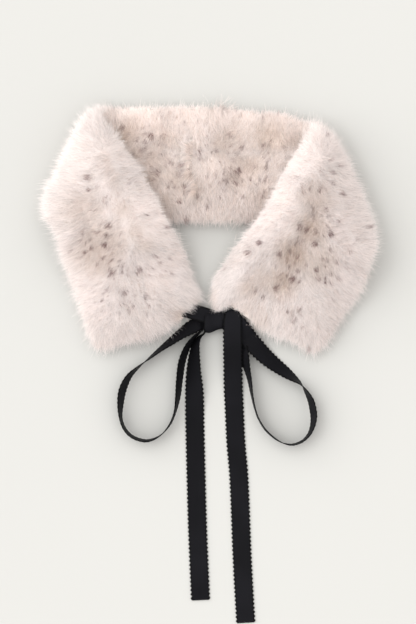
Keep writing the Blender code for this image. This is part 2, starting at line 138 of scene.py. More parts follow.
RIGHT_LOOP = [
    (15.0, 48.6, 178, 8.6, 0.76),
    (20.6, 47.9, 184, 9.2, 0.9),
    (28.9, 41.3, 195, 10.0, 1.0),
    (38.2, 28.5, 180, 9.6, 1.0),
    (48.0, 17.6, 159, 6.4, 1.0),
    (57.5, 8.0, 147, 2.6, 1.0),
    (69.0, -1.2, 135, 0.4, 1.0),
    (80.5, -9.6, 121, 0.0, 1.0),
    (92.6, -18.6, 98, 0.0, 1.0),
    (98.3, -26.3, 83, 0.0, 1.0),
    (104.0, -36.8, 73, 0.0, 1.0),
    (106.9, -49.4, 71, 0.0, 1.0),
    (106.8, -59.9, 75, 0.0, 1.0),
    (103.6, -70.2, 81, 0.0, 1.0),
    (97.6, -77.9, 85, 0.0, 1.0),
    (89.8, -82.2, 86, 0.0, 1.0),
    (81.0, -83.2, 88, 0.0, 1.0),
    (69.6, -79.0, 93, 0.0, 1.0),
    (57.4, -68.8, 94, 0.0, 1.0),
    (49.6, -56.7, 93, 0.0, 1.0),
    (45.5, -45.2, 93, 0.0, 1.0),
    (42.3, -30.5, 96, 0.0, 1.0),
    (40.0, -15.8, 102, 0.0, 1.0),
    (37.1, -3.2, 109, 0.0, 1.0),
    (33.6, 8.4, 126, 0.0, 1.0),
    (28.4, 20.5, 153, 0.4, 1.0),
    (24.0, 30.5, 168, 1.4, 0.9),
    (19.8, 36.4, 176, 2.4, 0.72),
    (14.7, 38.2, 178, 3.2, 0.6),
]
LEFT_TAIL = [
    (-5.2, 38.6, 84, 2.6, 0.5),
    (-8.0, 33.0, 84, 1.2, 0.56),
    (-11.6, 30.2, 80, 0.5, 0.72),
    (-14.8, 25.2, 73, 0.0, 0.9),
    (-16.8, 19.6, 65, 0.0, 1.0),
    (-17.9, 10.5, 56, 0.0, 1.0),
    (-18.5, 0.0, 46, 0.0, 1.0),
    (-18.6, -10.5, 36, 0.0, 1.0),
    (-18.0, -24.2, 20, 0.0, 1.0),
    (-17.7, -38.9, 7, 0.0, 1.0),
    (-17.5, -57.8, 0, 0.0, 1.0),
    (-17.0, -83.0, 0, 0.0, 1.0),
    (-16.1, -120.8, 0, 0.0, 1.0),
    (-14.6, -173.3, 0, 0.0, 1.0),
    (-11.5, -246.8, 0, 0.0, 1.0),
]
RIGHT_TAIL = [
    (22.0, 57.8, 0, 11.8, 0.62),
    (22.1, 54.8, 0, 14.2, 0.78),
    (22.3, 50.4, 0, 15.2, 0.93),
    (22.0, 45.0, 0, 15.4, 1.0),
    (21.9, 36.8, 0, 15.6, 1.0),
    (22.1, 21.0, 0, 14.6, 1.0),
    (22.4, 5.3, 0, 9.4, 1.0),
    (22.6, -10.0, 0, 4.6, 1.0),
    (22.9, -24.2, 0, 1.6, 1.0),
    (23.8, -43.0, 0, 0.0, 1.0),
    (25.7, -83.0, 0, 0.0, 1.0),
    (28.9, -120.8, 0, 0.0, 1.0),
    (32.3, -204.8, 0, 0.0, 1.0),
    (36.0, -270.6, 0, 0.0, 1.0),
]
RIBBON_WIDTH = 20.8  # over the picots
RIBBON_WALL = 1.0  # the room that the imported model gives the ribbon
RIBBON_CLOTH = 0.9  # the satin itself, with its rolled edges
RIBBON_STEPS = 8  # points of the smooth curve between two rows
PICOT_PITCH = 4.4
PICOT_DEPTH = 1.5
PICOT_STEPS = 6  # sections of ribbon for each picot
ACROSS = (-1, -0.8, -0.4, 0, 0.4, 0.8, 1)  # places across a ribbon

# A stub is the short flat stretch from a sewn end of the collar to the knot, from one
# edge line to the other: start x, y, z and end x, y, z.
LEFT_STUB = [
    (-36.4, 51.6, 11.6, 2.0, 41.0, 10.6),
    (-19.6, 64.6, 11.6, 5.0, 56.4, 9.8),
]
RIGHT_STUB = [
    (13.4, 65.2, 12.2, 13.0, 54.4, 12.4),
    (32.4, 56.4, 12.2, 13.0, 42.4, 12.4),
]
STUB_STEPS = 10
STUB_PUCKER = 0.35  # how high the pleats stand at the knot
STUB_PLEATS = 3

# --- the knot, a row for each section across the wrap ---------------------------------
KNOT_COLUMNS = ("x", "y", "half_depth", "half_height")
KNOT_MIDDLE_Z = 8.2
KNOT_STEPS = 8  # points of the smooth curve between two rows
JUST_SHORT = 0.001  # of the last row, where the curve ends
KNOT_ROUND = 60  # sections round the wrap
KNOT_ACROSS = 16  # and from its left edge to its right
KNOT_SQUARENESS = 2.6
KNOT_FOLDS = 3  # lengthwise folds that the pull puts in the wrap
KNOT_FOLD = 0.45  # how high they stand
KNOT_FOLD_LEAN = 1.3  # radians, how they slant as they go round
KNOT_AROUND = 46.0  # the ribbon's length, once round
WRAP_IN = 0.3  # the wrap's middle lies this far inside the knot's skin
CORE_IN = 1.6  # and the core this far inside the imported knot
KNOT = [
    (-7.2, 43.2, 8.4, 5.3),
    (-5.8, 43.2, 9.8, 6.3),
    (-3.1, 43.6, 10.4, 6.3),
    (3.4, 45.0, 10.0, 6.1),
    (9.9, 46.8, 9.4, 6.2),
    (12.4, 47.4, 9.2, 6.5),
    (14.0, 47.9, 8.2, 5.6),
]

# --- the fur's finer lie over its solids ----------------------------------------------
# The left front's inner edge, as packed: x, y and how far the fur lies back from it.
INNER_EDGE = [
    (-104.0, 252.0, 5.0),
    (-84.0, 236.0, 11.5),
    (-61.0, 208.0, 15.0),
    (-43.5, 173.0, 14.0),
    (-30.5, 138.0, 9.0),
    (-24.5, 120.0, 4.5),
    (-19.0, 103.0, 4.0),
    (-12.0, 90.0, 6.0),
    (-7.0, 78.0, 8.0),
    (-4.0, 66.0, 7.0),
]
EDGE_BACK = Vector((-0.86, -0.51, 0.0))  # the way that it lies back
END_BACK = Vector((-1.0, 0.1, 0.0))  # and at its sewn end
END_FROM, END_TO = 108.0, 88.0  # in Y, from one way to the other
EDGE_EASE = 55.0  # over which the fur gives way
EDGE_WALL = 0.3  # fur that faces up more than this keeps its place
EDGE_WALL_BLEND = 0.4
TOP_LAYER = 28.0  # a front that lies on the back of the collar is above this
BACK_TOP = 19.0  # the top of the back's fur is above this
BACK_HEM = 147.5  # the lower edge of the back, in Y
SEAM_HEIGHT = 11.3  # of the seam between the panels of a front
RELIEF_DEPTH = 6.0  # over the seam, from where the whole of a relief shows

# Rolls and hollows on the fronts: from x, y to x, y, half width and height.
RELIEF = [
    (98.0, 154.0, 46.0, 78.0, 15.0, 4.5),
    (112.0, 162.0, 74.0, 72.0, 15.0, -5.5),
    (-25.0, 52.0, -8.0, 62.5, 12.0, -7.5),  # pressed down over the ribbons
    (24.0, 60.0, 44.0, 43.0, 11.0, -8.0),
]

# Where the fur's outer edges lie in a little: x, y, radius and how far in X and Y.
LAID_IN = [
    (116.0, 264.0, 48.0, -2.0, -8.0),
    (168.0, 150.0, 60.0, -4.0, 0.0),
    (152.0, 78.0, 55.0, -4.0, 1.0),
    (148.0, 212.0, 45.0, -2.0, -1.0),
    (-60.0, 270.0, 55.0, 0.0, -2.0),
    (50.0, 270.0, 55.0, 0.0, -2.0),
    (-168.0, 135.0, 50.0, 3.0, 0.0),
    (-150.0, 80.0, 50.0, 3.0, 1.0),
]

# --- how the fur lies: arrows of the comb, as x, y and the way in X and Y -------------
FRONT_COMB = [
    (-120, 262, -0.5, 0.8),
    (-150, 225, -0.9, 0.35),
    (-158, 185, -1.0, 0.1),
    (-168, 155, -1.0, -0.1),
    (-133, 140, -0.95, -0.25),
    (-114, 124, -0.9, -0.35),
    (-143, 98, -0.9, -0.4),
    (-128, 66, -0.85, -0.5),
    (-122, 34, -0.6, -0.8),
    (-106, 18, -0.3, -1.0),
    (-76, 24, 0.25, -1.0),
    (-50, 34, 0.6, -0.85),
    (-28, 48, 0.75, -0.65),
    (-112, 205, -0.7, -0.2),
    (-96, 172, 0.2, -0.8),
    (-88, 216, 0.95, 0.1),
    (-76, 186, 1.0, 0.0),
    (-60, 158, 1.0, -0.1),
    (-50, 122, 0.97, -0.2),
    (-38, 90, 0.9, -0.35),
    (-22, 72, 0.85, -0.5),
    (-66, 80, 0.7, -0.6),
    (-84, 58, 0.3, -0.9),
    (120, 254, 0.2, 0.95),
    (100, 236, -0.7, 0.5),
    (86, 205, -0.85, -0.1),
    (66, 168, -0.85, -0.35),
    (42, 136, -0.85, -0.45),
    (16, 92, -0.75, -0.65),
    (12, 70, -0.45, -0.9),
    (24, 58, -0.2, -1.0),
    (48, 46, -0.15, -1.0),
    (100, 184, 0.3, -0.8),
    (92, 136, -0.6, -0.6),
    (66, 100, -0.5, -0.75),
    (140, 222, 0.85, 0.35),
    (132, 190, 0.5, -0.7),
    (150, 170, 0.9, -0.2),
    (162, 144, 1.0, 0.0),
    (124, 120, 0.8, -0.45),
    (150, 84, 0.85, -0.5),
    (126, 56, 0.65, -0.75),
    (98, 22, 0.1, -1.0),
    (84, 60, 0.1, -1.0),
]
BACK_COMB = [
    (-130, 262, -0.6, 0.8),
    (-90, 268, -0.15, 1.0),
    (-40, 268, 0.1, 1.0),
    (10, 268, -0.1, 1.0),
    (60, 266, 0.15, 1.0),
    (100, 262, 0.3, 0.9),
    (-84, 240, 0.5, 0.5),
    (-62, 235, 0.35, 0.9),
    (-20, 240, -0.2, 0.9),
    (20, 236, 0.4, 0.8),
    (52, 240, 0.5, 0.7),
    (80, 236, -0.4, 0.6),
    (-60, 200, 0.5, -0.7),
    (-30, 205, 0.3, -0.9),
    (4, 204, -0.2, -0.95),
    (30, 200, 0.25, -0.9),
    (62, 205, -0.3, -0.9),
    (-44, 170, 0.25, -1.0),
    (-14, 165, 0.0, -1.0),
    (20, 165, 0.1, -1.0),
    (50, 168, -0.15, -1.0),
    (-90, 200, 0.3, -0.8),
    (90, 190, -0.1, -0.9),
    (-40, 150, 0.1, -1.0),
    (0, 148, 0.0, -1.0),
    (40, 150, -0.1, -1.0),
]
COMB_BLEND = 14.0  # how softly one arrow gives way to the next
COMB_DROOP = 0.30  # how far the comb points down where the fur turns over an edge

# --- dark tufts: x, y, radius and how dark --------------------------------------------
FRONT_FLECKS = [
    (-135, 138, 1.8, 0.85), (-130, 195, 2.6, 0.9), (-125, 121, 1.7, 0.85),
    (-123, 138, 1.6, 0.5), (-119, 185, 1.3, 0.8), (-111, 124, 2.2, 0.95),
    (-110, 77, 1.8, 0.75), (-108, 144, 2.9, 0.85), (-104, 115, 1.4, 0.65),
    (-104, 95, 2.2, 0.9), (-96, 75, 1.3, 0.6), (-90, 74, 2.2, 0.8),
    (-87, 228, 2.3, 0.5), (-87, 93, 1.4, 0.5), (-81, 59, 2.2, 0.75),
    (-74, 98, 2.2, 0.8), (-67, 71, 1.6, 0.7), (-59, 113, 1.8, 0.6),
    (-47, 144, 1.6, 0.7), (-43, 110, 1.6, 0.5), (-40, 95, 1.6, 0.5),
    (37, 117, 2.3, 1.0), (46, 75, 1.6, 0.9), (50, 127, 2.5, 1.0), (54, 69, 1.9, 1.0),
    (68, 79, 2.7, 0.95), (71, 115, 2.6, 0.65), (82, 118, 2.1, 0.55), (84, 88, 3.1, 0.9),
    (84, 53, 1.8, 0.8), (86, 45, 1.9, 0.7), (88, 195, 1.6, 0.5), (90, 97, 1.4, 0.85),
    (90, 112, 1.6, 0.7), (92, 143, 2.6, 0.9), (92, 86, 1.4, 0.75), (92, 56, 2.3, 0.9),
    (99, 140, 2.3, 0.9), (99, 103, 1.4, 0.75), (102, 16, 2.3, 0.5),
    (106, 172, 1.0, 0.6), (106, 162, 1.6, 0.75), (106, 154, 1.6, 0.7),
    (108, 126, 2.7, 1.0), (109, 138, 2.3, 0.6), (110, 98, 2.2, 0.85),
    (113, 89, 2.0, 0.95), (114, 180, 1.8, 0.8), (120, 161, 2.2, 0.95),
    (121, 239, 1.3, 0.7), (121, 108, 1.6, 0.7), (125, 135, 2.2, 0.95),
    (125, 85, 1.3, 0.6), (126, 214, 1.3, 0.7), (127, 200, 1.8, 0.7),
    (127, 189, 2.1, 0.65), (131, 107, 1.7, 0.85), (133, 208, 1.2, 0.6),
    (133, 149, 1.5, 0.85), (138, 178, 1.7, 0.95), (144, 118, 1.7, 0.85),
    (152, 131, 1.4, 0.7), (125, 119, 1.6, 0.7), (163, 144, 1.7, 0.6),
    # These two are painted shade in the gap between the fronts.
    (-6, 71, 4.5, 0.42), (-8, 66, 4.0, 0.42),
]
BACK_FLECKS = [
    (-93, 249, 2.6, 0.6), (-73, 225, 2.0, 0.6), (-63, 239, 2.9, 0.9),
    (-54, 199, 1.6, 0.5), (-45, 184, 1.6, 0.75), (-33, 170, 2.2, 0.95),
    (-31, 209, 1.7, 0.75), (-29, 186, 2.0, 0.8), (-26, 151, 2.3, 0.6),
    (-24, 204, 1.7, 0.85), (-24, 224, 1.8, 0.5), (-14, 175, 1.7, 0.75),
    (6, 223, 1.8, 0.7), (10, 210, 1.6, 0.7), (16, 190, 2.3, 0.75), (19, 242, 2.0, 0.5),
    (27, 188, 2.0, 0.75), (29, 201, 2.9, 0.8), (33, 174, 1.6, 0.6),
    (44, 205, 2.0, 0.45), (54, 175, 1.6, 0.6), (57, 205, 2.1, 0.6), (75, 228, 1.6, 0.5),
]
# Fur peppered with small dark strokes: x, y, radius and how many.
FRONT_PEPPER = [
    (93, 131, 14, 12), (78, 104, 16, 12), (76, 86, 10, 8), (112, 150, 18, 9),
    (122, 100, 20, 9), (108, 184, 20, 9), (90, 50, 18, 5), (-122, 131, 18, 24),
    (-104, 96, 20, 18), (-78, 64, 18, 12), (-118, 170, 18, 10), (-64, 100, 18, 8),
    (-60, 150, 16, 4), (-100, 60, 16, 7),
]
BACK_PEPPER = [
    (16, 196, 14, 18), (24, 226, 14, 13), (-30, 186, 14, 15), (-58, 232, 14, 14),
    (50, 190, 14, 11), (-36, 208, 12, 12), (-78, 240, 12, 10), (58, 222, 14, 10),
    (-8, 226, 14, 8), (0, 180, 16, 8), (-62, 200, 12, 10),
]
PEPPER_RADIUS, PEPPER_DARK = (0.8, 1.6), (0.5, 1.0)
PEPPER_TURN = 7.0  # radians, a little more than once round
STRAY_FLECKS = 100  # faint ones, anywhere on a panel
STRAY_RADIUS, STRAY_DARK = (0.8, 1.4), (0.3, 0.7)
FRONT_FIELD = (-172, 10), (344, 260)  # where they may be: a corner and the size
BACK_FIELD = (-110, 145), (220, 125)
FLECK_SEED = 11
FLECK_GROWTH = 1.15
FLECK_BLUR = 0.6
FLECK_STRETCH = 1.15  # a dark tuft is longer along its hairs
FRONT_SPOTTED = 0.8  # how many of the hairs in a dark tuft are dark
BACK_SPOTTED = 0.95
FLECK_DEPTH = (0.6, 1.1)  # how far each of them takes on the dark
FLECK_BACK = 1.5  # a dark hair is rooted this far behind its tuft's middle

# --- warm undertone where the fur parts, and painted shade in hollows, creases, the gap between the fronts and against the ribbons: x, y, radius and strength ---
FRONT_WARMTH_AND_SHADE = [
    (-118, 120, 26, 0.45), (-111, 210, 5, 0.4), (-102, 191, 5, 0.5), (-90, 158, 5, 0.6),
    (-77, 136, 5, 0.6), (-66, 124, 5, 0.5), (86, 112, 17, 0.9), (74, 84, 14, 0.8),
    (104, 138, 17, 0.8), (112, 168, 18, 0.45), (-136, 160, 20, 0.3),
    (112, 104, 20, 0.4), (38, 77, 9, 0.6), (56, 84, 12, 0.4), (48, 44, 7, 0.4),
    (34, 54, 6, 0.4), (-5, 72, 7, 1.0), (-12, 66, 5, 0.8), (-1, 62, 5, 0.8),
    (-30, 50, 5, 0.8),
]
# The back's rows along the crease under the left front are painted shade.
BACK_WARMTH_AND_SHADE = [
    (-92, 238, 11, 0.8), (-80, 218, 12, 0.7), (-66, 192, 12, 0.7), (-50, 164, 10, 0.6),
    (-86, 246, 12, 0.8), (-62, 215, 14, 0.5), (62, 240, 16, 0.6), (20, 240, 14, 0.4),
    (32, 208, 10, 0.5), (26, 192, 8, 0.6), (-36, 190, 12, 0.4), (42, 204, 8, 0.7),
    (14, 222, 8, 0.4), (-50, 240, 12, 0.4), (84, 236, 8, 0.6), (-18, 176, 9, 0.4),
    (8, 232, 8, 0.5), (50, 172, 9, 0.4),
]

# --- paler runs of fur along the rolls, with evener hair; the paleness is painted light where they face the lamp: x, y, radius and strength ---
FRONT_LIT_ROLLS = [
    (106, 232, 16, 0.5), (90, 206, 17, 0.5), (76, 176, 18, 0.5), (60, 146, 22, 0.4),
    (-140, 215, 26, 0.2), (-152, 168, 16, 0.1), (-113, 184, 10, 0.7),
    (-104, 158, 12, 0.7), (-96, 136, 10, 0.5), (-70, 150, 26, 0.7),
    (-112, 104, 24, 0.3), (-50, 95, 20, 0.6), (-104, 214, 16, 0.5), (-98, 168, 15, 0.7),
    (-124, 104, 24, 0.45), (34, 108, 18, 0.1), (-126, 70, 20, 0.3),
]
BACK_LIT_ROLLS = [
    (2, 205, 14, 0.3), (-74, 264, 20, 0.7), (-24, 266, 20, 0.5), (26, 266, 20, 0.5),
    (76, 262, 16, 0.5),
]
WARMTH_AND_SHADE_DEPTH = (0.4, 1.2)  # how far each hair there takes on the warm undertone and painted shade
PATCH_BLUR = 9.0  # of the warm and painted-shade places and the painted-light rolls
RUFFLE = 14.0  # size of the places where the fur is ruffled

# --- the hairs ------------------------------------------------------------------------
HAIR_STATIONS = (0.0, 0.4, 0.75, 1.0)  # along a hair
HAIR_TAPER = (1.0, 0.85, 0.5)  # its width at all but the tip
HAIR_POINTS = 2 * len(HAIR_TAPER) + 1
HAIR_DEPTH = 6.5  # from the tip down to the root
BEND_UP, BEND_ALONG = 0.85, 0.25  # shares of a hair's depth and reach, up to its bend

# Each kind of hair: how far it reaches, how wide it is, how far its tip stands up, how
# far it usually stands out where the fur turns over an edge, how closely its tufts
# gather, how much paler it is, how dark it may be, and its share of the longer fringe.
HAIR_COLUMNS = ("reach", "width", "lift", "fringe", "gather", "pale", "dark", "extra")
WOOL = ((6.0, 10.5), (0.22, 0.46), 0.2, 2.2, 0.40, 0.0, 1.0, 1.0)
END_TUFTS = ((9.0, 15.0), (0.24, 0.42), 0.6, 2.2, 0.3, 0.1, 1.0, 1.7)
GUARD = ((13.0, 22.0), (0.16, 0.26), 1.1, 2.2, 0.25, 0.2, 0.8, 1.0)
RIM = ((9.0, 16.0), (0.15, 0.25), 0.6, 4.8, 0.45, 0.25, 1.0, 1.0)
LONGEST_STRAY = 10.5  # no hair stands out further than this over an edge

# How far tufts differ from each other, and each hair from its tuft.
HAIRS_PER_TUFT = 6
TUFT_TURN, TUFT_LIFT, TUFT_TONE = 0.32, 0.6, 0.11  # in radians, mm and share
OWN_TURN, OWN_LIFT, OWN_TONE = 0.40, 0.5, 0.31
OWN_ROLL = 0.45  # radians, round the hair itself
DARK_SHORTER, DARK_LIFT, DARK_WIDER = 0.4, 1.5, 0.5  # what the dark adds to a hair
LIT_ROLL_TONE, PALE_EVEN = 0.4, 0.5  # how much brighter (painted light) and how much more alike the fur of the lit rolls is
FRINGE_LEAN = 0.6  # how far hairs on an edge lean the way they are combed
SIDE_SHORTER = 0.6  # how much less a hair on an edge reaches along the fur
SOFT_ROLL, SOFT_UP = 0.35, 0.8  # how far its shading follows its own roll and the light
OVER_FLOOR = 0.05  # no hair comes lower than this

# Longer fringes at the sewn ends, along the outer edges, at the hem of the back and along
# the left front's inner edge: x, y, radius and extra length.
FRINGE = [
    (-12, 78, 12, 15.0), (-18, 64, 12, 6.0), (-46, 37, 12, 5.0), (-62, 32, 12, 7.0),
    (-12, 90, 10, 5.0), (6, 70, 12, 9.0), (14, 60, 8, 3.0), (46, 42, 12, 10.0),
    (64, 34, 12, 8.0), (4, 88, 12, 5.0), (168, 160, 22, 4.5), (166, 120, 22, 5.0),
    (150, 76, 22, 5.0), (150, 200, 22, 4.0), (-40, 146, 16, 3.0), (0, 146, 20, 3.0),
    (40, 146, 16, 3.0), (-172, 172, 26, 7.0), (-164, 120, 26, 7.0), (-146, 74, 24, 6.0),
    (-124, 24, 22, 5.0), (110, 14, 18, 4.0), (-150, 214, 22, 4.0), (-130, 250, 18, 4.0),
    (-100, 236, 11, 6.0), (-78, 206, 11, 7.0), (-60, 172, 11, 7.0), (-42, 136, 11, 6.0),
]

# Thinner fur over the ribbons: x, y, radius and how much of it is gone.
THIN = [
    (-28, 54, 7, 0.5), (-21, 57, 7, 0.6), (-14, 60, 7, 0.5), (22, 60, 9, 0.7),
    (30, 56, 7, 0.6),
]
FRINGE_BLUR, THIN_BLUR = 5.0, 3.0
LEAST_FRINGE = 0.1  # the share of it that every hair takes
TRIES_PER_HAIR, MORE_TRIES = 1.4, 50  # some places have no room for a hair

# --- the underfur ---------------------------------------------------------------------
SKIN_DEPTH = 4.6  # it is drawn in by this much under the hairs' tips
SKIN_SHARE = 0.4  # and by no more than this share of the panel's thickness
SKIN_CLEAR, AIR_CLEAR = 0.05, 0.2  # where rays start, down into the skin and up from it
COVERED = 3.5  # fur closer than this to other fur keeps its place
HAIR_ROOM = 1.3  # hairs need this much room above them
SEAM_FADE = 9.0  # how far the drawn-in skin reaches into a seam

# --- where each coat of hairs grows ---------------------------------------------------
UNDERSIDE = -0.25  # fur that faces down more than this is underside
SEAM_TOP, SEAM_FACING = 12.5, 0.3  # what is lower and faces up more lies in a seam
BACK_EDGE = (70.0, 255.0)  # half width, and from where in Y
SEWN_ENDS, END_FACING = (34.0, 100.0), -0.4  # half width, and up to where in Y
RIM_FACING = 0.5  # fur nearer to upright than this is rim
RIM_OFF_BACK = (100.0, 140.0)  # half width, and from where in Y there is none

WELD = 1e-6  # metres
MIX_INPUTS, MIX_RESULT = (0, 6, 7), 2  # a Mix node's share, colours and mixed colour


def new_object(name, mesh):
    piece = bpy.data.objects.new(name, mesh)
    bpy.context.scene.collection.objects.link(piece)
    return piece


def finish_mesh(name, body, material):
    mesh = bpy.data.meshes.new(name)
    body.to_mesh(mesh)
    body.free()
    mesh.materials.append(material)
    mesh.shade_smooth()
    return new_object(name, mesh)


def take_place(piece, node):
    """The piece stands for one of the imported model's nodes."""
    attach(piece, "root")
    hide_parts(node)


def weld(body):
    bmesh.ops.remove_doubles(body, verts=body.verts, dist=WELD)


def held(value):
    """The value, held between 0 and 1."""
    return min(1.0, max(0.0, value))


# --- materials ------------------------------------------------------------------------
def new_material(name):
    material = bpy.data.materials.new(name)
    material.use_nodes = True
    tree = material.node_tree
    return material, tree, tree.nodes["Principled BSDF"]


def add(tree, kind, inputs=(), **settings):
    node = tree.nodes.new(kind)
    for key, value in settings.items():
        setattr(node, key, value)
    for key, value in dict(inputs).items():
        if isinstance(value, bpy.types.NodeSocket):
            tree.links.new(value, node.inputs[key])
        else:
            node.inputs[key].default_value = value
    return node


def mix(tree, share, a, b, blend="MIX"):
    """A colour between a and b."""
    node = tree.nodes.new("ShaderNodeMix")
    node.data_type = "RGBA"
    node.blend_type = blend
    for index, value in zip(MIX_INPUTS, (share, a, b)):
        if isinstance(value, bpy.types.NodeSocket):
            tree.links.new(value, node.inputs[index])
        elif isinstance(value, tuple):
            node.inputs[index].default_value = (*value, 1.0)
        else:
            node.inputs[index].default_value = value
    return node.outputs[MIX_RESULT]


def attribute(tree, name):
    return add(tree, "ShaderNodeAttribute", attribute_name=name).outputs["Fac"]


def ramp(tree, value, stops):
    node = add(tree, "ShaderNodeValToRGB", {"Fac": value})
    points = node.color_ramp.elements
    while len(points) < len(stops):
        points.new(0.5)
    for point, (place, colour) in zip(points, stops):
        point.position = place
        point.color = (*colour, 1.0)
    return node.outputs["Color"]


def span(tree, value, low, high, to_low=0.0, to_high=1.0):
    inputs = {"Value": value, "From Min": low, "From Max": high}
    inputs.update({"To Min": to_low, "To Max": to_high})
    return add(tree, "ShaderNodeMapRange", inputs, clamp=True).outputs["Result"]


def hair_material(name, root, middle, tip, warm_and_shade, dark):
    """Fur by the hair: paler towards the tip and darker at the root, partly painted shade
    of the depth; warm with undertone and painted shade, or dark, where the tuft is.
    """
    material, tree, shader = new_material(name)
    along = attribute(tree, "along")
    # Darker, warmer roots: partly the hair's own colour, partly painted shade of the depth
    # it grows from.
    colour = ramp(tree, along, [(0.0, root), (0.45, middle), (0.95, tip)])
    # The warm undertone, which in places is painted shade.
    colour = mix(tree, attribute(tree, "warm_and_shade"), colour, warm_and_shade)
    place = add(tree, "ShaderNodeTexCoord").outputs["Object"]
    drift = add(tree, "ShaderNodeTexNoise", {"Vector": place, "Scale": 26.0, "Detail": 3.0})
    cool = span(tree, drift.outputs["Fac"], 0.35, 0.68, 0.0, 0.25)
    colour = mix(tree, cool, colour, COOL_CAST, "MULTIPLY")
    tone = span(tree, attribute(tree, "tone"), 0.0, 1.0, DIMMEST, BRIGHTEST)
    bright = add(tree, "ShaderNodeCombineColor", {"Red": tone, "Green": tone, "Blue": tone})
    colour = mix(tree, 1.0, colour, bright.outputs["Color"], "MULTIPLY")
    reach = span(tree, along, DARK_FROM, DARK_TO)
    inputs = {0: attribute(tree, "fleck"), 1: reach}
    share = add(tree, "ShaderNodeMath", inputs, operation="MULTIPLY")
    colour = mix(tree, share.outputs[0], colour, dark)
    tree.links.new(colour, shader.inputs["Base Color"])
    shader.inputs["Roughness"].default_value = 0.72
    shader.inputs["Specular IOR Level"].default_value = 0.25
    shader.inputs["Sheen Weight"].default_value = 0.25
    shader.inputs["Sheen Roughness"].default_value = 0.5
    glow = add(tree, "ShaderNodeBsdfTranslucent", {"Color": colour})
    inputs = {0: HAIR_GLOW, 1: shader.outputs[0], 2: glow.outputs[0]}
    both = add(tree, "ShaderNodeMixShader", inputs)
    tree.links.new(both.outputs[0], tree.nodes["Material Output"].inputs["Surface"])
    return material


def underfur_material(name, pale, deep):
    """The dense wool under the hairs, soft and a little darker: painted shade of its depth.
    """
    material, tree, shader = new_material(name)
    place = add(tree, "ShaderNodeTexCoord").outputs["Object"]
    wool = add(tree, "ShaderNodeTexNoise", {"Vector": place, "Scale": 420.0, "Detail": 4.0})
    tufts = add(tree, "ShaderNodeTexVoronoi", {"Vector": place, "Scale": 230.0})
    share = span(tree, wool.outputs["Fac"], 0.35, 0.7)
    # The deep colour is painted shade of the depth.
    colour = mix(tree, share, deep, pale)
    tree.links.new(colour, shader.inputs["Base Color"])
    shader.inputs["Roughness"].default_value = 0.95
    shader.inputs["Specular IOR Level"].default_value = 0.1
    shader.inputs["Sheen Weight"].default_value = 0.4
    bump = add(
        tree,
        "ShaderNodeBump",
        {"Height": tufts.outputs["Distance"], "Strength": 0.8, "Distance": 0.0015},
    )
    tree.links.new(bump.outputs["Normal"], shader.inputs["Normal"])
    return material


def satin_material(name):
    """Black satin: fine ribs across the ribbon, a thread along each edge, and lighter
    patches of wear and painted sheen.
    """
    material, tree, shader = new_material(name)
    cut = add(tree, "ShaderNodeUVMap", uv_map="cut").outputs["UV"]
    ribs = add(
        tree,
        "ShaderNodeTexWave",
        {"Vector": cut, "Scale": 420.0, "Distortion": 0.6, "Detail": 1.0},
        bands_direction="X",
    )
    place = add(tree, "ShaderNodeTexCoord").outputs["Object"]
    handling = add(
        tree, "ShaderNodeTexNoise", {"Vector": place, "Scale": 60.0, "Detail": 4.0}
    )
    split = add(tree, "ShaderNodeSeparateXYZ", {"Vector": cut})
    off_middle = add(
        tree, "ShaderNodeMath", {0: split.outputs["Y"]}, operation="ABSOLUTE"
    ).outputs[0]
    edge = span(tree, off_middle, THREAD_FROM, THREAD_TO)
    colour = mix(tree, ribs.outputs["Fac"], SATIN_FACE, SATIN_RIB)
    # Lighter patches: partly wear, partly painted sheen.
    wear_and_sheen = add(tree, "ShaderNodeTexNoise", {"Vector": place, "Scale": 16.0, "Detail": 2.0})
    faded_and_sheen = span(tree, wear_and_sheen.outputs["Fac"], 0.4, 0.65, 0.0, 0.8)
    colour = mix(tree, faded_and_sheen, colour, SATIN_WORN_AND_SHEEN, "MULTIPLY")
    colour = mix(tree, edge, colour, SATIN_THREAD)
    tree.links.new(colour, shader.inputs["Base Color"])
    low, high = SATIN_ROUGHNESS - SATIN_SMOOTHEST, SATIN_ROUGHNESS + SATIN_ROUGHEST
    gloss = span(tree, handling.outputs["Fac"], 0.3, 0.7, low, high)
    gloss = add(tree, "ShaderNodeMath", {0: gloss, 1: edge}, operation="MAXIMUM")
    tree.links.new(gloss.outputs[0], shader.inputs["Roughness"])
    shader.inputs["Specular IOR Level"].default_value = 0.014
    height = mix(tree, 0.35, ribs.outputs["Color"], handling.outputs["Color"])
    bump = add(
        tree, "ShaderNodeBump", {"Height": height, "Strength": 0.35, "Distance": 0.0002}
    )
    tree.links.new(bump.outputs["Normal"], shader.inputs["Normal"])
    return material


def table_top_material():
    material, tree, shader = new_material("pale_table_top")
    place = add(tree, "ShaderNodeTexCoord").outputs["Object"]
    grain = add(tree, "ShaderNodeTexNoise", {"Vector": place, "Scale": 3.0, "Detail": 2.0})
    colour = mix(tree, grain.outputs["Fac"], *TABLE_COLOURS)
    tree.links.new(colour, shader.inputs["Base Color"])
    shader.inputs["Roughness"].default_value = 0.9
    shader.inputs["Specular IOR Level"].default_value = 0.1
    return material


# --- ribbons --------------------------------------------------------------------------
def smooth_rows(rows, steps):
    """The rows of a table with steps - 1 new ones between each two, on a smooth curve."""
    padded = [Vector(r) for r in (rows[0], *rows, rows[-1])]
    out = []
    for a, b, c, d in zip(padded, padded[1:], padded[2:], padded[3:]):
        for k in range(steps):
            t = k / steps
            bend = (2 * a - 5 * b + 4 * c - d) * t + (3 * b - a - 3 * c + d) * t * t
            out.append(b + 0.5 * t * ((c - a) + bend))
    return [*out, padded[-1]]


